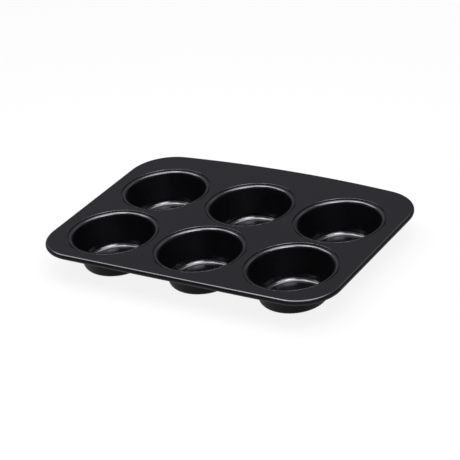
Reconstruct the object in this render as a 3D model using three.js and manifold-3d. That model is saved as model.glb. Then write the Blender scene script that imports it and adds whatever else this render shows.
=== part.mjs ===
// Six-cup muffin pan: a pressed deck with a wire in its rolled rim, and six drawn cups seated in it.
// Millimetres and degrees, +Z up, front towards -Y. The origin is on the table under the pan's middle.
import * as THREE from "three";
import { mergeVertices } from "three/addons/utils/BufferGeometryUtils.js";
import Module from "manifold-3d";

// Sheet, wire and the gap left between neighbouring pieces
const deckSheet = 0.6;
const cupSheet = 0.5;
const wireDiameter = 3.4;
const clearance = 0.3;

// Cup: the mouth is measured inside, where the round of the lip runs into the wall
const mouthRadius = 37.43;
const wallTaper = 16;
const floorRound = 4.5;

// Lip: a round that ends in a narrow flange, its top a little lower than the deck's
const lipRound = 3.5;
const lipDrop = 0.4;
const flangeWidth = 0.85;

// Groove left round the flange, where the deck steps down to the cup's seat
const grooveWidth = 1.08;

// Deck: its height over the table, the flat strips between and around the seats, and its outline
const deckHeight = 31;
const columnGap = 7.6;
const rowGap = 4.6;
const sideMargin = 14.25;
const frontMargin = 11.35;
const rearMargin = 32.15;
const frontCornerRadius = 38;
const rearCornerRadius = 41.5;
const rearBow = 11.3;
const curlTurn = 270;

// Overlap of the deck's plate, seats and curl where they are joined into one sheet
const joinLap = 0.5;

// Facets: round a cup, along each arc of the outline, round the rim, and along the small arcs of a section
const roundFacets = 32;
const outlineFacets = 8;
const rimFacets = 8;
const lipFacets = 5;
const floorFacets = 3;

// Finish of each kind of piece
const deckFinish = { color: 0x2d2f31, roughness: 0.4, metalness: 0.2 };
const cupFinish = { color: 0x232527, roughness: 0.35, metalness: 0.2 };
const wireFinish = { color: 0x9b9da0, roughness: 0.35, metalness: 0.9 };

// Worked out from the sizes above: the seam's radii, from the lip's crest outwards
const taper = THREE.MathUtils.degToRad(wallTaper);
const wallTilt = Math.PI / 2 - taper;
const crestRadius = mouthRadius + lipRound * Math.cos(taper);
const flangeOuter = crestRadius + flangeWidth;
const seatRim = flangeOuter + grooveWidth;

// The seam's heights over the table
const lipTop = deckHeight - lipDrop;
const lipY = lipTop - lipRound;
const seatTop = lipTop - cupSheet - clearance;

// The cup grid and the deck's overall size
const columns = ["left", "middle", "right"];
const rows = ["front", "rear"];
const columnPitch = 2 * seatRim + columnGap;
const rowPitch = 2 * seatRim + rowGap;
const panLength = (columns.length - 1) * columnPitch + 2 * (seatRim + sideMargin);
const panWidth = frontMargin + (rows.length - 1) * rowPitch + 2 * seatRim + rearMargin;
const frontRowY = -panWidth / 2 + frontMargin + seatRim;
const rimRadius = wireDiameter / 2 + clearance + deckSheet;

const wasm = await Module();
wasm.setup();

// Points on an arc, its ends included
function arcPoints(x, y, radius, start, end, facets) {
  return new THREE.EllipseCurve(x, y, radius, radius, start, end, end < start).getPoints(facets);
}

// Centre of a cup, by its place in the grid
function cupCentre(column, row) {
  const x = (column - (columns.length - 1) / 2) * columnPitch;
  return new THREE.Vector2(x, frontRowY + row * rowPitch);
}

// Centres of all cups
function cupCentres() {
  return rows.flatMap((_, row) => columns.map((__, column) => cupCentre(column, row)));
}

// The deck's outline, moved inwards from the rim: four round corners and a rear edge that is one wide arc
function deckOutline(inset) {
  const halfLength = panLength / 2;
  const bowRadius = (halfLength ** 2 + rearBow ** 2) / (2 * rearBow);
  const bowY = panWidth / 2 - bowRadius;
  const frontX = halfLength - frontCornerRadius;
  const frontY = -panWidth / 2 + frontCornerRadius;
  const rearX = halfLength - rearCornerRadius;
  const rearY = bowY + Math.sqrt((bowRadius - rearCornerRadius) ** 2 - rearX ** 2);
  const rearTurn = Math.atan2(rearY - bowY, rearX);
  const frontRound = frontCornerRadius - inset;
  const rearRound = rearCornerRadius - inset;
  const bow = arcPoints(0, bowY, bowRadius - inset, rearTurn, Math.PI - rearTurn, outlineFacets);
  return [
    ...arcPoints(frontX, frontY, frontRound, -Math.PI / 2, 0, outlineFacets),
    ...arcPoints(rearX, rearY, rearRound, 0, rearTurn, outlineFacets),
    ...bow.slice(1, -1),
    ...arcPoints(-rearX, rearY, rearRound, Math.PI - rearTurn, Math.PI, outlineFacets),
    ...arcPoints(-frontX, frontY, frontRound, Math.PI, 1.5 * Math.PI, outlineFacets),
  ];
}

// A closed section carried once round the deck's outline. Its points are (inset, height),
// anticlockwise as seen with the outside of the pan on the right.
function carryRoundOutline(section) {
  const loops = section.map((point) => deckOutline(point.x));
  const perLoop = loops[0].length;
  const positions = loops.flatMap((loop, k) => loop.flatMap((p) => [p.x, p.y, section[k].y]));
  const indices = [];
  for (let k = 0; k < section.length; k++) {
    const here = k * perLoop;
    const above = ((k + 1) % section.length) * perLoop;
    for (let i = 0; i < perLoop; i++) {
      const next = (i + 1) % perLoop;
      indices.push(here + i, here + next, above + i);
      indices.push(here + next, above + next, above + i);
    }
  }
  const geometry = new THREE.BufferGeometry();
  geometry.setAttribute("position", new THREE.Float32BufferAttribute(positions, 3));
  geometry.setIndex(indices);
  return geometry;
}

// A section of (radius, height) points turned round the upright axis
function turnRound(section) {
  return new THREE.LatheGeometry(section, roundFacets).rotateX(Math.PI / 2);
}

// A geometry as a solid that can be joined to others
function toSolid(geometry) {
  const bare = geometry.clone();
  bare.deleteAttribute("normal");
  bare.deleteAttribute("uv");
  const merged = mergeVertices(bare);
  const vertProperties = new Float32Array(merged.attributes.position.array);
  const triVerts = new Uint32Array(merged.index.array);
  return new wasm.Manifold(new wasm.Mesh({ numProp: 3, vertProperties, triVerts }));
}

// A joined solid as a geometry again
function toGeometry(solid) {
  const mesh = solid.getMesh();
  const geometry = new THREE.BufferGeometry();
  geometry.setAttribute("position", new THREE.BufferAttribute(mesh.vertProperties, 3));
  geometry.setIndex(new THREE.BufferAttribute(mesh.triVerts, 1));
  geometry.computeVertexNormals();
  return geometry;
}

// Flat plate between the rim and the six seats
function deckPlate() {
  const plate = new THREE.Shape(deckOutline(rimRadius));
  for (const centre of cupCentres()) {
    const hole = arcPoints(centre.x, centre.y, seatRim + joinLap, 0, 2 * Math.PI, roundFacets);
    plate.holes.push(new THREE.Path(hole.slice(0, -1)));
  }
  const geometry = new THREE.ExtrudeGeometry(plate, { depth: deckSheet, bevelEnabled: false });
  return geometry.translate(0, 0, deckHeight - deckSheet);
}

// Sunken seat, as a ring that laps into the plate. Its opening is as wide as the lip's crest.
function seatRing() {
  const outside = seatRim + 2 * joinLap;
  const deckUnderside = deckHeight - deckSheet;
  const seatUnderside = seatTop - deckSheet;
  const section = [
    [outside, deckUnderside],
    [outside, deckHeight],
    [seatRim, deckHeight],
    [seatRim, seatTop],
    [crestRadius, seatTop],
    [crestRadius, seatUnderside],
    [seatRim + deckSheet, seatUnderside],
    [seatRim + deckSheet, deckUnderside],
    [outside, deckUnderside],
  ];
  return turnRound(section.map(([r, z]) => new THREE.Vector2(r, z)));
}

// A point of the rim's section: at a radius from the wire's centre, 90 degrees being straight up
function rimPoint(radius, degrees) {
  const angle = THREE.MathUtils.degToRad(degrees);
  const inset = rimRadius - radius * Math.cos(angle);
  return new THREE.Vector2(inset, deckHeight - rimRadius + radius * Math.sin(angle));
}

// The deck's edge, rolled outwards, down and back under round the wire
function rimCurl() {
  const steps = Math.round((rimFacets * curlTurn) / 360);
  const angles = Array.from({ length: steps + 1 }, (_, i) => 90 - (curlTurn * i) / steps);
  const lapInset = rimRadius + joinLap;
  const section = [
    new THREE.Vector2(lapInset, deckHeight),
    ...angles.map((angle) => rimPoint(rimRadius, angle)),
    ...angles.reverse().map((angle) => rimPoint(rimRadius - deckSheet, angle)),
    new THREE.Vector2(lapInset, deckHeight - deckSheet),
  ];
  return carryRoundOutline(section.reverse());
}

function makeDeck() {
  const seat = toSolid(seatRing());
  let deck = toSolid(deckPlate()).add(toSolid(rimCurl()));
  for (const centre of cupCentres()) {
    deck = deck.add(seat.translate([centre.x, centre.y, 0]));
  }
  return toGeometry(deck);
}

function makeRimWire() {
  const angles = Array.from({ length: rimFacets }, (_, i) => -90 + (360 * i) / rimFacets);
  return carryRoundOutline(angles.map((angle) => rimPoint(wireDiameter / 2, angle)));
}

// One cup, drawn from sheet: floor, tapered wall, round lip and flange
function makeCup() {
  const floorY = cupSheet + floorRound;
  const lipEnd = lipY + lipRound * Math.sin(taper);
  const wallAtFloor = mouthRadius - (lipEnd - floorY) * Math.tan(taper);
  const floorRadius = wallAtFloor - floorRound / Math.cos(taper);
  const down = -Math.PI / 2;
  const up = Math.PI / 2;
  const floorArc = (radius) => arcPoints(floorRadius, floorY, radius, down, down + wallTilt, floorFacets);
  const lipArc = (radius) => arcPoints(crestRadius, lipY, radius, up, up + wallTilt, lipFacets);
  return turnRound([
    new THREE.Vector2(0, 0),
    ...floorArc(floorRound + cupSheet),
    ...lipArc(lipRound - cupSheet).reverse(),
    new THREE.Vector2(flangeOuter, lipTop - cupSheet),
    new THREE.Vector2(flangeOuter, lipTop),
    ...lipArc(lipRound),
    ...floorArc(floorRound).reverse(),
    new THREE.Vector2(0, cupSheet),
  ]);
}

// A named piece with its own finish
function addPiece(group, name, geometry, finish) {
  const mesh = new THREE.Mesh(geometry, new THREE.MeshStandardMaterial(finish));
  mesh.name = name;
  group.add(mesh);
  return mesh;
}

const pan = new THREE.Group();
addPiece(pan, "deck", makeDeck(), deckFinish);
addPiece(pan, "rim_wire", makeRimWire(), wireFinish);
rows.forEach((rowName, row) => {
  columns.forEach((columnName, column) => {
    const cup = addPiece(pan, `cup_${rowName}_${columnName}`, makeCup(), cupFinish);
    const centre = cupCentre(column, row);
    cup.position.set(centre.x, centre.y, 0);
  });
});

export default pan;
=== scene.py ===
# Six-cup muffin pan in black coated steel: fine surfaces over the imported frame, finishes, light, camera.
# Sizes are in mm and angles in degrees, unless a note says otherwise.
from math import cos, radians, sin, tan
import bmesh
import bpy
import numpy as np
from mathutils import Matrix, Vector


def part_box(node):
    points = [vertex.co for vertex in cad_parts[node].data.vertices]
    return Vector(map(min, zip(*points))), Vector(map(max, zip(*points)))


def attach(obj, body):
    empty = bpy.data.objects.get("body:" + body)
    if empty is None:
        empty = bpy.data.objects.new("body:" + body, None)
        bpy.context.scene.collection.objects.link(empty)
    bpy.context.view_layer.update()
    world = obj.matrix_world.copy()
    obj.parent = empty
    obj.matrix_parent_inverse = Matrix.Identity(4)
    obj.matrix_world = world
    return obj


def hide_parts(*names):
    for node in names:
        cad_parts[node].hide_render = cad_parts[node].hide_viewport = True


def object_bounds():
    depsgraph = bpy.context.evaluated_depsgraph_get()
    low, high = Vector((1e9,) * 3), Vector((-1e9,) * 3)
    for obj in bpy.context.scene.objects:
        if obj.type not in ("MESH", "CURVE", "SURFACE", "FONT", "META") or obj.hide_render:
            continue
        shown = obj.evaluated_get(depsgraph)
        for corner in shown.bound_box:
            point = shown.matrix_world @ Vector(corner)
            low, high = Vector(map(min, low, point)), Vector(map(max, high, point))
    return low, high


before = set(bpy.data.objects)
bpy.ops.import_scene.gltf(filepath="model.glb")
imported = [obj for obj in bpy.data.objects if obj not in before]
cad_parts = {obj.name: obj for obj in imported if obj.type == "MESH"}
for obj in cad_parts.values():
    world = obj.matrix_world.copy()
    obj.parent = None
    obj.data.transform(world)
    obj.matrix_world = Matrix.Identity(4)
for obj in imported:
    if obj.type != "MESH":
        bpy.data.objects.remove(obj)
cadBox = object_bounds()
print("frame loaded:", len(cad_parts), "nodes")

mm = 0.001  # metres
weldGap = 0.0002  # points closer than this become one
wholeRange = (0.0, 1.0)
cupNodes = [f"cup_{row}_{column}" for row in ("front", "rear") for column in ("left", "middle", "right")]


# Points on an arc of a section: centre plus radius times cosine and sine. The third number is the wear.
def arcRun(centre, radius, start, end, steps, wear=0.0):
    turn = np.radians(np.linspace(start, end, steps + 1))
    across = centre[0] + radius * np.cos(turn)
    height = centre[1] + radius * np.sin(turn)
    return np.stack([across, height, np.full(steps + 1, wear)], 1)


# Points on a straight run, ends left out, closer together towards the ends (half a cosine wave)
def lineRun(start, end, steps, wear=0.0):
    share = 0.5 - 0.5 * np.cos(np.pi * np.arange(1, steps) / steps)
    across = start[0] + (end[0] - start[0]) * share
    height = start[1] + (end[1] - start[1]) * share
    return np.stack([across, height, np.full(steps - 1, wear)], 1)


# Quads between neighbours of a grid of points; either direction can close into a loop
def gridFaces(rows, columns, first=0, closeRows=False, closeColumns=False):
    i = np.arange(rows if closeRows else rows - 1)[:, None]
    j = np.arange(columns if closeColumns else columns - 1)[None, :]
    down = (i + 1) % rows
    right = (j + 1) % columns
    corners = [i * columns + j, down * columns + j, down * columns + right, i * columns + right]
    return first + np.stack(np.broadcast_arrays(*corners), -1).reshape(-1, 4)


# A mesh from whole arrays: borders that meet are welded, poles close, and the faces turn outwards.
# The finish of each face is its number in the list of materials.
def makePiece(name, points, faces, wear, materials, finish=None):
    mesh = bpy.data.meshes.new(name)
    mesh.from_pydata(points * mm, [], faces)
    if finish is not None:
        mesh.polygons.foreach_set("material_index", np.ascontiguousarray(finish, dtype=np.int32))
    layer = mesh.attributes.new("wear", "FLOAT", "POINT")
    layer.data.foreach_set("value", np.ascontiguousarray(wear, dtype=np.float32))
    shell = bmesh.new()
    shell.from_mesh(mesh)
    bmesh.ops.remove_doubles(shell, verts=shell.verts, dist=weldGap * mm)
    bmesh.ops.recalc_face_normals(shell, faces=shell.faces)
    openEdges = sum(1 for edge in shell.edges if not edge.is_manifold)
    shell.to_mesh(mesh)
    shell.free()
    mesh.polygons.foreach_set("use_smooth", np.ones(len(mesh.polygons), dtype=bool))
    for material in materials:
        mesh.materials.append(material)
    piece = bpy.data.objects.new(name, mesh)
    bpy.context.collection.objects.link(piece)
    print(f"  {name}: {len(mesh.polygons)} faces, {openEdges} open edges")
    return piece


# A new material with its node tree and shader
def newMaterial(name):
    material = bpy.data.materials.new(name)
    material.use_nodes = True
    tree = material.node_tree
    return material, tree, tree.nodes["Principled BSDF"]


# A node with some of its inputs set
def addNode(tree, kind, **inputs):
    node = tree.nodes.new(kind)
    for key, value in inputs.items():
        node.inputs[key].default_value = value
    return node


# A socket takes a plain value, or a link from another node's output
def feed(tree, socket, value):
    if isinstance(value, bpy.types.NodeSocket):
        tree.links.new(value, socket)
    else:
        socket.default_value = value


# Noise on the piece's own coordinates
def objectNoise(tree, place, scale, detail, roughness=0.5):
    noise = addNode(tree, "ShaderNodeTexNoise", Scale=scale, Detail=detail, Roughness=roughness)
    tree.links.new(place.outputs["Object"], noise.inputs["Vector"])
    return noise.outputs["Fac"]


# One range of a value stretched onto another, and clamped there
def remap(tree, source, fromRange, toRange):
    node = tree.nodes.new("ShaderNodeMapRange")
    for key, value in zip(("From Min", "From Max", "To Min", "To Max"), fromRange + toRange):
        node.inputs[key].default_value = value
    tree.links.new(source, node.inputs["Value"])
    return node.outputs["Result"]


# Two values joined by one kind of arithmetic
def combine(tree, kind, first, second):
    node = tree.nodes.new("ShaderNodeMath")
    node.operation = kind
    for socket, value in zip(node.inputs, (first, second)):
        feed(tree, socket, value)
    return node.outputs["Value"]


# Two colours mixed by a share of the second
def mixColour(tree, share, first, second):
    node = tree.nodes.new("ShaderNodeMix")
    node.data_type = "RGBA"
    sockets = [socket for socket in node.inputs if socket.enabled]
    for socket, value in zip(sockets, (share, first, second)):
        feed(tree, socket, value)
    return next(socket for socket in node.outputs if socket.enabled)


# Relief of a given depth in metres, on top of another relief if one is given
def addRelief(tree, height, depth, under=None):
    bump = addNode(tree, "ShaderNodeBump", Strength=1.0, Distance=depth)
    tree.links.new(height, bump.inputs["Height"])
    if under is not None:
        tree.links.new(under, bump.inputs["Normal"])
    return bump.outputs["Normal"]


# Black non-stick coating: near black, fine orange peel, pale flecks, cloudy gloss, thin on rounded edges.
# Scales are per metre, depths in metres, and each range is the part of a noise that counts.
coatingSet = dict(
    dark=(0.0008, 0.0008, 0.0011, 1.0),
    pale=(0.0015, 0.0015, 0.0020, 1.0),
    cloudScale=38.0,
    cloudDetail=4.0,
    cloudGrit=0.55,
    cloudRange=(0.3, 0.7),
    fleck=(0.014, 0.014, 0.016, 1.0),
    fleckScale=1900.0,
    fleckDetail=0.0,
    fleckRange=(0.70, 0.80),
    fleckShare=0.8,
    worn=(0.02, 0.02, 0.021, 1.0),
    wornRange=(0.42, 0.68),
    wornShare=0.35,
    roughness=(0.15, 0.21),
    grainScale=2600.0,
    grainDetail=2.0,
    grainRange=(0.3, 0.7),
    grainRoughness=(-0.02, 0.02),
    grainDepth=0.000003,
    peelScale=820.0,
    peelDetail=2.0,
    peelDepth=0.000012,
    ior=1.52,
)

# The same coating where the spray lies dry, on the walls, the outsides and the undersides, where it runs
# together wet, on the small rounds, and where it gathers, on the cups' floors and the foot of their walls
drySet = dict(coatingSet, roughness=(0.4, 0.48), ior=1.26)
wetSet = dict(coatingSet, roughness=(0.13, 0.18), ior=2.2)
footSet = dict(coatingSet, ior=1.75)


def coatingMaterial(name, s):
    material, tree, shader = newMaterial(name)
    place = tree.nodes.new("ShaderNodeTexCoord")
    cloud = objectNoise(tree, place, s["cloudScale"], s["cloudDetail"], s["cloudGrit"])
    peel = objectNoise(tree, place, s["peelScale"], s["peelDetail"])
    grain = objectNoise(tree, place, s["grainScale"], s["grainDetail"])
    fleck = objectNoise(tree, place, s["fleckScale"], s["fleckDetail"])
    edge = tree.nodes.new("ShaderNodeAttribute")
    edge.attribute_name = "wear"
    # colour: clouds of two blacks, flecks, and patches of thin coat on the worn edges
    clouds = remap(tree, cloud, s["cloudRange"], wholeRange)
    base = mixColour(tree, clouds, s["dark"], s["pale"])
    flecks = remap(tree, fleck, s["fleckRange"], (0.0, s["fleckShare"]))
    flecked = mixColour(tree, flecks, base, s["fleck"])
    patches = remap(tree, cloud, s["wornRange"], wholeRange)
    wornEdge = combine(tree, "MULTIPLY", edge.outputs["Fac"], patches)
    thin = combine(tree, "MULTIPLY", wornEdge, s["wornShare"])
    tree.links.new(mixColour(tree, thin, flecked, s["worn"]), shader.inputs["Base Color"])
    # gloss: cloudy, and a little uneven with the grain
    cloudy = remap(tree, cloud, s["cloudRange"], s["roughness"])
    gritty = remap(tree, grain, s["grainRange"], s["grainRoughness"])
    tree.links.new(combine(tree, "ADD", cloudy, gritty), shader.inputs["Roughness"])
    shader.inputs["IOR"].default_value = s["ior"]
    # relief: orange peel on top of the grain
    fine = addRelief(tree, grain, s["grainDepth"])
    tree.links.new(addRelief(tree, peel, s["peelDepth"], fine), shader.inputs["Normal"])
    return material


# Drawn steel wire: bright grey with fine scuffs and duller patches
steelSet = dict(
    pale=(0.56, 0.565, 0.575, 1.0),
    dull=(0.36, 0.365, 0.375, 1.0),
    cloudScale=60.0,
    cloudDetail=4.0,
    cloudRange=(0.35, 0.65),
    scuffScale=1400.0,
    scuffDetail=3.0,
    scuffRange=(0.3, 0.7),
    scuffDepth=0.000004,
    roughness=(0.26, 0.46),
)


def steelMaterial(s):
    material, tree, shader = newMaterial("drawnSteel")
    shader.inputs["Metallic"].default_value = 1.0
    place = tree.nodes.new("ShaderNodeTexCoord")
    cloud = objectNoise(tree, place, s["cloudScale"], s["cloudDetail"])
    scuff = objectNoise(tree, place, s["scuffScale"], s["scuffDetail"])
    patches = remap(tree, cloud, s["cloudRange"], wholeRange)
    tree.links.new(mixColour(tree, patches, s["pale"], s["dull"]), shader.inputs["Base Color"])
    tree.links.new(remap(tree, scuff, s["scuffRange"], s["roughness"]), shader.inputs["Roughness"])
    tree.links.new(addRelief(tree, scuff, s["scuffDepth"]), shader.inputs["Normal"])
    return material


deckCoats = [
    coatingMaterial("blackCoating", coatingSet),
    coatingMaterial("dryBlackCoating", drySet),
    coatingMaterial("wetBlackCoating", wetSet),
]
cupCoats = deckCoats + [coatingMaterial("footBlackCoating", footSet)]
plain, dry, wet, foot = range(len(cupCoats))
steel = steelMaterial(steelSet)
print("finishes made")

# Cup: the mouth is measured where the lip's round runs into the wall, and past its crest the lip falls
# a little, out to a short flange. Pairs of step counts are for the inside and the outside.
cupSet = dict(
    sheet=0.5,
    mouthRadius=37.43,
    taper=16.0,
    floorRound=4.5,
    lipRound=3.5,
    lipDrop=0.4,
    lipFall=4.0,
    lipWear=1.0,
    flangeRun=0.6,
    flangeEdge=0.14,
    footHeight=6.3,  # the foot of the wall ends here
    levelSlope=12.0,  # less steep than this is level
    drySlope=47.0,  # the lip's round is wet until it is as steep as this
    wallSlack=1.0,  # as steep as the taper, within this, is straight wall
    floorSteps=10,
    floorRoundSteps=(18, 16),
    wallSteps=14,
    lipSteps=(20, 14),
    flangeSteps=(4, 3),
    edgeSteps=4,
    turnSteps=160,  # round the cup
)

# Deck: a plate with a sunken seat for each cup, its edge curled round the wire
deckSet = dict(
    height=31.0,
    sheet=0.6,
    frontCorner=38.0,
    rearCorner=41.5,
    rearBow=11.3,
    rimRadius=2.6,
    curlTurn=270.0,
    curlSteps=(30, 20),  # outer and inner face
    wornAngle=45.0,  # where the curl is most worn, 90 being straight up
    wornFull=12.0,  # as worn as there within this many degrees
    wornGone=72.0,  # and not worn from here on
    levelEdge=0.06,  # the curl is plain until it falls this far, and wet from there to wetShoulder
    wetShoulder=0.75,
    grooveWidth=1.08,
    seatGap=0.3,
    seatBend=0.35,
    seatBendSteps=6,
    seatWear=0.8,
    seatFoot=0.1,
    seatFootSteps=(4, 6),  # upper and lower face
    seatEdge=0.2,
    seatEdgeSteps=3,
    underBendSteps=4,
    plateShares=(0.0, 0.004, 0.03, 0.12, 0.3, 0.5, 0.7, 0.88, 0.97),  # of the way in from the border
    raySteps=160,
    rayReach=400.0,  # longer than any ray
    rayHalvings=60,
    centreDigits=4,  # cups in one row or column agree to this many digits
    sameSpot=0.0001,  # points of the rim closer than this are one
    onBorder=0.000001,
    alongBorder=1e-12,  # a ray with less of a direction than this never crosses the border
)


# Radii and heights of the seam, from the lip's crest outwards: the cup's flange lies in a sunken seat
# of the deck, with a groove round it
def seamSizes(c, d):
    s = {}
    fall = radians(c["lipFall"])
    s["crest"] = c["mouthRadius"] + c["lipRound"] * cos(radians(c["taper"]))
    s["flangeOuter"] = s["crest"] + c["lipRound"] * sin(fall) + c["flangeRun"] * cos(fall)
    s["seatRim"] = s["flangeOuter"] + d["grooveWidth"]
    s["lipHeight"] = d["height"] - c["lipDrop"] - c["lipRound"]
    s["flangeTop"] = s["lipHeight"] + c["lipRound"] * cos(fall) - c["flangeRun"] * sin(fall)
    s["seatTop"] = s["flangeTop"] - c["sheet"] * cos(fall) - d["seatGap"]
    return s


# Section of a cup as (radius, height, wear): up the inside, over the lip and flange, down the outside
def cupSection(c, s):
    taper = radians(c["taper"])
    fall = radians(c["lipFall"])
    sheet = c["sheet"]
    edge = c["flangeEdge"]
    worn = c["lipWear"]
    floorHeight = sheet + c["floorRound"]
    lipEnd = s["lipHeight"] + c["lipRound"] * sin(taper)
    wallFoot = c["mouthRadius"] - (lipEnd - floorHeight) * tan(taper)
    floorPoint = (wallFoot - c["floorRound"] / cos(taper), floorHeight)
    lipPoint = (s["crest"], s["lipHeight"])
    along = np.array([cos(fall), -sin(fall)])
    across = np.array([sin(fall), cos(fall)])
    flangeEnd = np.array([s["flangeOuter"], s["flangeTop"]])
    upperPoint = flangeEnd - edge * (along + across)
    lowerPoint = flangeEnd - edge * along - (sheet - edge) * across
    footTurn = -c["taper"]  # where the floor's round runs into the wall
    wallTurn = 180.0 - c["taper"]  # where the wall runs into the lip's round
    topTurn = 90.0 - c["lipFall"]
    endTurn = topTurn - 90.0
    underTurn = topTurn - 180.0
    inFloorSteps, outFloorSteps = c["floorRoundSteps"]
    inLipSteps, outLipSteps = c["lipSteps"]
    topSteps, underSteps = c["flangeSteps"]
    inFloor = arcRun(floorPoint, c["floorRound"], -90.0, footTurn, inFloorSteps)
    inLip = arcRun(lipPoint, c["lipRound"], wallTurn, topTurn, inLipSteps, worn)
    upperEdge = arcRun(upperPoint, edge, topTurn, endTurn, c["edgeSteps"], worn)
    lowerEdge = arcRun(lowerPoint, edge, endTurn, underTurn, c["edgeSteps"])
    outLip = arcRun(lipPoint, c["lipRound"] - sheet, topTurn, wallTurn, outLipSteps)
    outFloor = arcRun(floorPoint, c["floorRound"] + sheet, footTurn, -90.0, outFloorSteps)
    inPole = np.array([[0.0, sheet, 0.0]])
    outPole = np.array([[0.0, 0.0, 0.0]])
    return np.concatenate([
        inPole,
        lineRun(inPole[0], inFloor[0], c["floorSteps"]),
        inFloor,
        lineRun(inFloor[-1], inLip[0], c["wallSteps"]),
        inLip,
        lineRun(inLip[-1], upperEdge[0], topSteps, worn),
        upperEdge,
        lowerEdge,
        lineRun(lowerEdge[-1], outLip[0], underSteps),
        outLip,
        lineRun(outLip[-1], outFloor[0], c["wallSteps"]),
        outFloor,
        lineRun(outFloor[-1], outPole[0], c["floorSteps"]),
        outPole,
    ])


# The coat on each stretch of a cup's section: dry on all of the outside and on the wall inside from its
# foot to the lip, the foot's own coat on the floor and the foot of the wall, plain on the level flange,
# and wet on the rounds
def cupStretches(section, c):
    step = np.diff(section[:, :2], axis=0)
    slope = np.degrees(np.arctan2(np.abs(step[:, 1]), np.abs(step[:, 0])))
    height = (section[1:, 1] + section[:-1, 1]) / 2.0
    outside = np.arange(len(step)) >= section[:, 0].argmax()
    low = height < c["footHeight"]
    level = slope < c["levelSlope"]
    straight = slope > 90.0 - c["taper"] - c["wallSlack"]
    wall = (slope > c["drySlope"]) & ~low
    bottom = (level | straight) & low
    return np.select([outside | wall, bottom, level], [dry, foot, plain], wet)


# A section turned round an upright axis: x and y are the centre plus radius times cosine and sine of the
# turn, and z is the height
def turnedSurface(section, centre, steps):
    turn = 2.0 * np.pi * np.arange(steps)[:, None] / steps
    x = centre[0] + section[None, :, 0] * np.cos(turn)
    y = centre[1] + section[None, :, 0] * np.sin(turn)
    z = np.broadcast_to(section[None, :, 1], x.shape)
    wear = np.broadcast_to(section[None, :, 2], x.shape)
    faces = gridFaces(steps, len(section), closeRows=True)
    return np.stack([x, y, z], -1).reshape(-1, 3), faces, wear.reshape(-1)


# Middle of a node in plan
def planMiddle(node):
    low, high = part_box(node)
    middle = (np.array(low) + np.array(high)) / 2.0
    return middle[:2] / mm


seam = seamSizes(cupSet, deckSet)
centres = np.array([planMiddle(node) for node in cupNodes])
section = cupSection(cupSet, seam)
cupFinish = np.tile(cupStretches(section, cupSet), cupSet["turnSteps"])
for node, centre in zip(cupNodes, centres):
    points, faces, wear = turnedSurface(section, centre, cupSet["turnSteps"])
    cup = makePiece(node + "_form", points, faces, wear, cupCoats, cupFinish)
    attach(cup, "root")
    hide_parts(node)
print("cups made")


# Numbers of the deck's outline: corner centres, and the wide arc of the rear edge
def outlineSizes(d):
    low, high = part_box("deck")
    halfLength = high.x / mm
    front = low.y / mm
    rear = high.y / mm
    bowRadius = (halfLength**2 + d["rearBow"] ** 2) / (2.0 * d["rearBow"])
    bowY = rear - bowRadius
    rearX = halfLength - d["rearCorner"]
    rearY = bowY + np.sqrt((bowRadius - d["rearCorner"]) ** 2 - rearX**2)
    return dict(
        halfLength=halfLength,
        front=front,
        bowRadius=bowRadius,
        bowY=bowY,
        frontX=halfLength - d["frontCorner"],
        frontY=front + d["frontCorner"],
        rearX=rearX,
        rearY=rearY,
        frontCorner=d["frontCorner"],
        rearCorner=d["rearCorner"],
    )


# Distance inwards from the outline, and the outward direction: from a corner's centre where a corner
# rounds the edge, from the bow's centre at the rear, else square to the nearest straight edge
def outlineInset(x, y, o):
    side = np.where(x < 0.0, -1.0, 1.0)
    ax = np.abs(x)
    frontDx = ax - o["frontX"]
    frontDy = y - o["frontY"]
    rearDx = ax - o["rearX"]
    rearDy = y - o["rearY"]
    bowDy = y - o["bowY"]
    inFront = (frontDx > 0.0) & (frontDy < 0.0)
    inRear = (rearDy > 0.0) & (ax * (o["rearY"] - o["bowY"]) > bowDy * o["rearX"])
    bowFar = np.hypot(ax, bowDy)
    edges = np.stack([o["halfLength"] - ax, y - o["front"], o["bowRadius"] - bowFar])
    nearest = edges.argmin(0)
    flatX = np.choose(nearest, [np.ones_like(ax), np.zeros_like(ax), ax / bowFar])
    flatY = np.choose(nearest, [np.zeros_like(ax), -np.ones_like(ax), bowDy / bowFar])
    frontFar = np.hypot(frontDx, frontDy)
    rearFar = np.hypot(rearDx, rearDy)
    corner = [inFront, inRear]
    inset = np.select(corner, [o["frontCorner"] - frontFar, o["rearCorner"] - rearFar], edges.min(0))
    outX = np.select(corner, [frontDx / frontFar, rearDx / rearFar], flatX) * side
    outY = np.select(corner, [frontDy / frontFar, rearDy / rearFar], flatY)
    return inset, outX, outY


# How far a ray from a point inside goes before it reaches the plate's border, found by halving
def reachRim(x, y, dx, dy, d, o):
    near = np.zeros(np.broadcast(x, dx).shape)
    far = np.full(near.shape, d["rayReach"])
    for _ in range(d["rayHalvings"]):
        mid = (near + far) / 2.0
        inside = outlineInset(x + mid * dx, y + mid * dy, o)[0] > d["rimRadius"]
        near = np.where(inside, mid, near)
        far = np.where(inside, far, mid)
    return (near + far) / 2.0


# Lines halfway between neighbouring columns or rows of cups
def halfwayLines(middles, digits):
    places = np.unique(np.round(middles, digits))
    return (places[1:] + places[:-1]) / 2.0


# The nearest line above a place and the nearest below it, infinitely far if there is none
def nearestLines(lines, place):
    above = np.min(lines[lines > place], initial=np.inf)
    below = np.max(lines[lines < place], initial=-np.inf)
    return [above, below]


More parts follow.
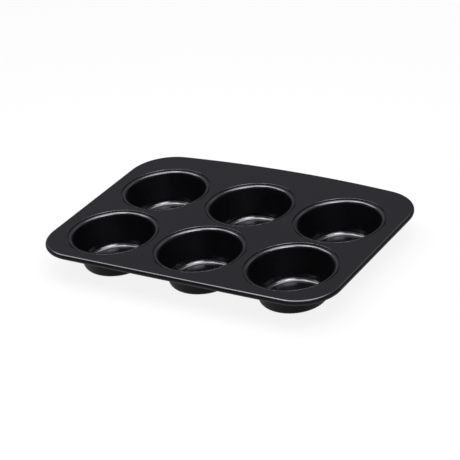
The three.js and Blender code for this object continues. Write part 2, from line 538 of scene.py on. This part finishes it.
# Each cup's share of the deck as rays round its centre: it ends halfway to the next cup or at the rim.
# The ray nearest to each corner of the share is turned onto it, so that neighbours meet point to point.
def shareRays(centres, d, o):
    halfwayX = halfwayLines(centres[:, 0], d["centreDigits"])
    halfwayY = halfwayLines(centres[:, 1], d["centreDigits"])
    angles = np.tile(2.0 * np.pi * np.arange(d["raySteps"]) / d["raySteps"], (len(centres), 1))
    borders = np.full((len(centres), 4), np.inf)
    for k, (x, y) in enumerate(centres):
        sidesX = nearestLines(halfwayX, x)
        sidesY = nearestLines(halfwayY, y)
        borders[k] = sidesX + sidesY
        corners = []
        for sideX, signX in zip(sidesX, (1.0, -1.0)):
            for sideY, signY in zip(sidesY, (1.0, -1.0)):
                if np.isfinite(sideX) and np.isfinite(sideY):
                    corners.append((sideX - x, sideY - y))
                elif np.isfinite(sideX):
                    corners.append((sideX - x, signY * reachRim(sideX, y, 0.0, signY, d, o)))
                elif np.isfinite(sideY):
                    corners.append((signX * reachRim(x, sideY, signX, 0.0, d, o), sideY - y))
        for cornerX, cornerY in corners:
            turn = np.arctan2(cornerY, cornerX) % (2.0 * np.pi)
            angles[k, np.abs(angles[k] - turn).argmin()] = turn
    dx = np.cos(angles)
    dy = np.sin(angles)
    startX = centres[:, :1]
    startY = centres[:, 1:]
    borderX = np.where(dx > 0.0, borders[:, :1], borders[:, 1:2])
    borderY = np.where(dy > 0.0, borders[:, 2:3], borders[:, 3:])
    with np.errstate(divide="ignore", invalid="ignore"):
        toBorderX = np.where(np.abs(dx) > d["alongBorder"], (borderX - startX) / dx, np.inf)
        toBorderY = np.where(np.abs(dy) > d["alongBorder"], (borderY - startY) / dy, np.inf)
    toBorder = np.minimum(toBorderX, toBorderY)
    toRim = reachRim(startX, startY, dx, dy, d, o)
    return dx, dy, np.minimum(toBorder, toRim), toRim <= toBorder + d["onBorder"]


# Section of a seat as (radius, height, wear): over the plate's edge, down to the seat, round the edge of
# the opening, and back out along the underside
def seatSection(d, s):
    sheet = d["sheet"]
    bend = d["seatBend"]
    seatFoot = d["seatFoot"]
    edge = d["seatEdge"]
    bendPoint = (s["seatRim"] + bend, d["height"] - bend)
    footPoint = (s["seatRim"] - seatFoot, s["seatTop"] + seatFoot)
    upperPoint = (s["crest"] + edge, s["seatTop"] - edge)
    lowerPoint = (s["crest"] + edge, s["seatTop"] - sheet + edge)
    underPoint = (s["seatRim"] + sheet + edge, d["height"] - sheet - edge)
    upperSteps, lowerSteps = d["seatFootSteps"]
    return np.concatenate([
        arcRun(bendPoint, bend, 90.0, 180.0, d["seatBendSteps"], d["seatWear"]),
        arcRun(footPoint, seatFoot, 0.0, -90.0, upperSteps),
        arcRun(upperPoint, edge, 90.0, 180.0, d["seatEdgeSteps"]),
        arcRun(lowerPoint, edge, 180.0, 270.0, d["seatEdgeSteps"]),
        arcRun(footPoint, seatFoot + sheet, -90.0, 0.0, lowerSteps),
        arcRun(underPoint, edge, 180.0, 90.0, d["underBendSteps"]),
    ])


# The deck's plate in six shares: each point is the cup's centre plus a radius along a ray. The points run
# from the share's border in to the seat on top, through the seat's section, and back out underneath.
def deckShares(centres, d, s, o):
    dx, dy, reach, onRim = shareRays(centres, d, o)
    seat = seatSection(d, s)
    share = np.array(d["plateShares"])
    flatTop = reach[..., None] + (seat[0, 0] - reach[..., None]) * share
    flatUnder = reach[..., None] + (seat[-1, 0] - reach[..., None]) * share[::-1]
    middle = np.broadcast_to(seat[:, 0], reach.shape + (len(seat),))
    radius = np.concatenate([flatTop, middle, flatUnder], -1)
    top = np.full(len(share), d["height"])
    unworn = np.zeros(len(share))
    z = np.concatenate([top, seat[:, 1], top - d["sheet"]])
    wear = np.concatenate([unworn, seat[:, 2], unworn])
    x = centres[:, 0, None, None] + radius * dx[..., None]
    y = centres[:, 1, None, None] + radius * dy[..., None]
    points = np.stack([x, y, np.broadcast_to(z, x.shape)], -1)
    rim = np.stack([x[..., 0], y[..., 0]], -1)[onRim]
    return points, np.broadcast_to(wear, x.shape), rim


# The rim's path: the shares' border points, in order round the pan, each with its outward direction
def rimPath(rim, d, o):
    order = np.argsort(np.arctan2(rim[:, 1], rim[:, 0]))
    path = rim[order]
    step = np.hypot(*(path - np.roll(path, 1, axis=0)).T)
    path = path[step > d["sameSpot"]]
    _, outX, outY = outlineInset(path[:, 0], path[:, 1], o)
    return path, np.stack([outX, outY], 1)


# A section of (distance outwards, height, wear) carried along the rim's path: x and y are the path's
# point plus the distance along its outward direction, and z is the height
def carriedSurface(path, outwards, section, closeSection, first=0):
    plan = path[:, None, :] + outwards[:, None, :] * section[None, :, :1]
    z = np.broadcast_to(section[None, :, 1:2], plan.shape[:2] + (1,))
    wear = np.broadcast_to(section[None, :, 2], plan.shape[:2])
    faces = gridFaces(len(path), len(section), first, True, closeSection)
    return np.concatenate([plan, z], -1).reshape(-1, 3), faces, wear.reshape(-1)


# The curl's section: the outer face round the wire, the cut edge, and the inner face back again
def curlSection(d):
    middle = (0.0, d["height"] - d["rimRadius"])
    stop = 90.0 - d["curlTurn"]
    outerSteps, innerSteps = d["curlSteps"]
    outer = arcRun(middle, d["rimRadius"], 90.0, stop, outerSteps)
    inner = arcRun(middle, d["rimRadius"] - d["sheet"], stop, 90.0, innerSteps)
    fromWorn = np.abs(np.linspace(90.0, stop, outerSteps + 1) - d["wornAngle"])
    outer[:, 2] = np.clip((d["wornGone"] - fromWorn) / (d["wornGone"] - d["wornFull"]), 0.0, 1.0)
    return np.concatenate([outer, inner])


# The coat on each stretch of the curl's section: plain at the top, wet on its shoulder, dry below that
def curlStretches(section, d):
    drop = d["height"] - section[1:, 1]
    return np.select([drop > d["wetShoulder"], drop < d["levelEdge"]], [dry, plain], wet)


# The coat on each stretch of the plate's section: plain on top and in the seat, wet on the bend between
# them, dry underneath
def plateStretches(height, d):
    drop = d["height"] - (height[1:] + height[:-1]) / 2.0
    stretch = np.arange(len(drop))
    half = len(drop) // 2
    onBend = (drop > 0.0) & (drop < d["seatBend"]) & (stretch < half)
    return np.select([stretch > half, onBend], [dry, wet], plain)


outline = outlineSizes(deckSet)
shares, shareWear, rimPoints = deckShares(centres, deckSet, seam, outline)
path, outwards = rimPath(rimPoints, deckSet, outline)
shareCount, rayCount, rayPoints = shares.shape[:3]
shareFaces = [
    gridFaces(rayCount, rayPoints, k * rayCount * rayPoints, closeRows=True) for k in range(shareCount)
]
platePoints = shares.reshape(-1, 3)
curl = curlSection(deckSet)
curlPoints, curlFaces, curlWear = carriedSurface(path, outwards, curl, False, len(platePoints))
plateFinish = np.tile(plateStretches(shares[0, 0, :, 2], deckSet), shareCount * rayCount)
curlFinish = np.tile(curlStretches(curl, deckSet), len(path))
deck = makePiece(
    "deck_form",
    np.concatenate([platePoints, curlPoints]),
    np.concatenate(shareFaces + [curlFaces]),
    np.concatenate([shareWear.reshape(-1), curlWear]),
    deckCoats,
    np.concatenate([plateFinish, curlFinish]),
)
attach(deck, "root")
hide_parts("deck")
print("deck made")

# Wire inside the curl, a round section carried along the same path
wireSet = dict(diameter=3.4, steps=14)
wireMiddle = (0.0, deckSet["height"] - deckSet["rimRadius"])
wireSection = arcRun(wireMiddle, wireSet["diameter"] / 2.0, 0.0, 360.0, wireSet["steps"])[:-1]
wirePoints, wireFaces, wireWear = carriedSurface(path, outwards, wireSection, True)
wire = makePiece("rim_wire_form", wirePoints, wireFaces, wireWear, [steel])
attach(wire, "root")
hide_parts("rim_wire")
print("rim wire made")

# Floor: a wide pale disc just under the cups; rings grow outwards. Its white shows to the camera and in
# reflections, but a painted shade dims the white that the pan's underside mirrors: the shade number is
# what is left of the white there, and the reach is where the painted shade ends, as shares of the pan's
# half length and half width.
floorSet = dict(
    radius=4000.0,
    rings=(0.0, 0.1, 0.3, 1.0),
    steps=48,
    drop=0.05,
    colour=(0.12, 0.12, 0.12, 1.0),
    roughness=0.9,
    white=(1.0, 1.0, 1.0, 1.0),
    glow=0.87,
    paintedShade=0.55,
    paintedShadeReach=(0.8, 1.1),
)


def floorMaterial(s):
    material, tree, shader = newMaterial("paleFloor")
    shader.inputs["Base Color"].default_value = s["colour"]
    shader.inputs["Roughness"].default_value = s["roughness"]
    shader.inputs["Specular IOR Level"].default_value = 0.0
    shader.inputs["Emission Color"].default_value = s["white"]
    place = tree.nodes.new("ShaderNodeTexCoord")
    split = tree.nodes.new("ShaderNodeSeparateXYZ")
    tree.links.new(place.outputs["Object"], split.inputs["Vector"])
    reach = [
        combine(tree, "DIVIDE", combine(tree, "ABSOLUTE", split.outputs[axis], 0.0), cadBox[1][k])
        for k, axis in enumerate("XY")
    ]
    furthest = combine(tree, "MAXIMUM", *reach)
    # painted shade: a fixed mask round the pan dims the floor's glow in reflections; no lamp casts it
    paintedShadeShare = remap(tree, furthest, s["paintedShadeReach"], (s["paintedShade"], 1.0))
    ray = tree.nodes.new("ShaderNodeLightPath")
    mirrored = combine(tree, "MAXIMUM", ray.outputs["Is Glossy Ray"], ray.outputs["Is Transmission Ray"])
    mirroredWhiteUnderPaintedShade = combine(tree, "MULTIPLY", mirrored, paintedShadeShare)
    seen = combine(tree, "MAXIMUM", ray.outputs["Is Camera Ray"], mirroredWhiteUnderPaintedShade)
    tree.links.new(combine(tree, "MULTIPLY", seen, s["glow"]), shader.inputs["Emission Strength"])
    return material


def makeFloor(s):
    radius = np.array(s["rings"]) * s["radius"]
    height = np.full(len(radius), -s["drop"])
    floorSection = np.stack([radius, height, np.zeros(len(radius))], 1)
    points, faces, wear = turnedSurface(floorSection, (0.0, 0.0), s["steps"])
    floor = makePiece("studio_floor", points, faces, wear, [floorMaterial(s)])


makeFloor(floorSet)
print("floor made")

# Studio: a grey room, dark at the horizon and lightest overhead, and soft boxes by their direction from
# the pan: turn from the front, lift over the floor, distance and size in metres, power in watts
studioSet = dict(
    roomLow=0.016,
    roomMiddle=0.123,
    roomTop=0.32,
    middleHeight=0.46,
    roomTint=(1.0, 0.98, 1.14),
    lampTint=(1.0, 0.99, 1.06),
    boxes=[
        dict(name="backBox", turn=232.0, lift=28.0, distance=1.6, size=(1.8, 0.9), power=0.65),
        dict(name="backRightBox", turn=163.0, lift=37.0, distance=1.25, size=(0.8, 0.4), power=0.19),
        dict(name="overheadBox", turn=200.0, lift=88.0, distance=1.25, size=(1.05, 1.05), power=7.7),
        dict(name="backLeftBox", turn=-94.0, lift=57.0, distance=1.25, size=(0.62, 0.8), power=3.4),
        dict(name="rightBox", turn=66.0, lift=54.0, distance=1.25, size=(0.85, 0.6), power=4.0),
        dict(name="leftBox", turn=-56.0, lift=32.0, distance=1.25, size=(0.5, 0.45), power=0.64),
        dict(name="frontBox", turn=49.0, lift=31.0, distance=1.25, size=(0.9, 0.45), power=0.88),
        dict(name="frontHighBox", turn=44.0, lift=61.0, distance=1.25, size=(0.5, 0.5), power=3.2),
    ],
)


# An object put at a place with its own axes: right, up and back, which points away from what it faces
def placeFacing(thing, right, up, back, place):
    axes = Matrix((right, up, back)).transposed().to_4x4()
    axes.translation = place
    thing.matrix_world = axes


def softBox(s, tint):
    lamp = bpy.data.lights.new(s["name"], "AREA")
    lamp.shape = "RECTANGLE"
    lamp.size, lamp.size_y = s["size"]
    lamp.energy = s["power"]
    lamp.color = tint
    box = bpy.data.objects.new(s["name"], lamp)
    bpy.context.collection.objects.link(box)
    turn = radians(s["turn"])
    lift = radians(s["lift"])
    away = Vector((sin(turn) * cos(lift), -cos(turn) * cos(lift), sin(lift)))
    right = Vector((cos(turn), sin(turn), 0.0))
    placeFacing(box, right, away.cross(right), away, away * s["distance"])


def tinted(level, tint):
    return tuple(level * share for share in tint) + (1.0,)


def studioRoom(s):
    world = bpy.data.worlds.new("studioRoom")
    bpy.context.scene.world = world
    world.use_nodes = True
    tree = world.node_tree
    background = tree.nodes["Background"]
    place = tree.nodes.new("ShaderNodeTexCoord")
    split = tree.nodes.new("ShaderNodeSeparateXYZ")
    tree.links.new(place.outputs["Generated"], split.inputs["Vector"])
    ramp = tree.nodes.new("ShaderNodeValToRGB")
    low, top = ramp.color_ramp.elements
    low.color = tinted(s["roomLow"], s["roomTint"])
    top.color = tinted(s["roomTop"], s["roomTint"])
    middle = ramp.color_ramp.elements.new(s["middleHeight"])
    middle.color = tinted(s["roomMiddle"], s["roomTint"])
    tree.links.new(split.outputs["Z"], ramp.inputs["Fac"])
    tree.links.new(ramp.outputs["Color"], background.inputs["Color"])
    background.inputs["Strength"].default_value = 1.0


studioRoom(studioSet)
for boxSet in studioSet["boxes"]:
    softBox(boxSet, studioSet["lampTint"])
print("studio lit")

# Camera where the photograph was taken from, place in metres: a long lens, tipped a little about its axis
cameraSet = dict(
    place=(0.82835, -1.24534, 0.80691),
    turn=33.711,
    lift=27.691,
    roll=6.68,
    lens=144.78,
    sensor=36.0,
)


def photoCamera(s):
    turn = radians(s["turn"])
    lift = radians(s["lift"])
    roll = radians(s["roll"])
    forward = Vector((-sin(turn) * cos(lift), cos(turn) * cos(lift), -sin(lift)))
    right = Vector((cos(turn), sin(turn), 0.0))
    down = forward.cross(right)
    imageRight = cos(roll) * right + sin(roll) * down
    imageDown = -sin(roll) * right + cos(roll) * down
    data = bpy.data.cameras.new("photoCamera")
    data.sensor_fit = "HORIZONTAL"
    data.sensor_width = s["sensor"]
    data.lens = s["lens"]
    camera = bpy.data.objects.new("photoCamera", data)
    bpy.context.collection.objects.link(camera)
    placeFacing(camera, imageRight, -imageDown, -forward, Vector(s["place"]))
    bpy.context.scene.camera = camera


photoCamera(cameraSet)
bpy.context.scene.view_settings.view_transform = "Standard"
print("camera set")
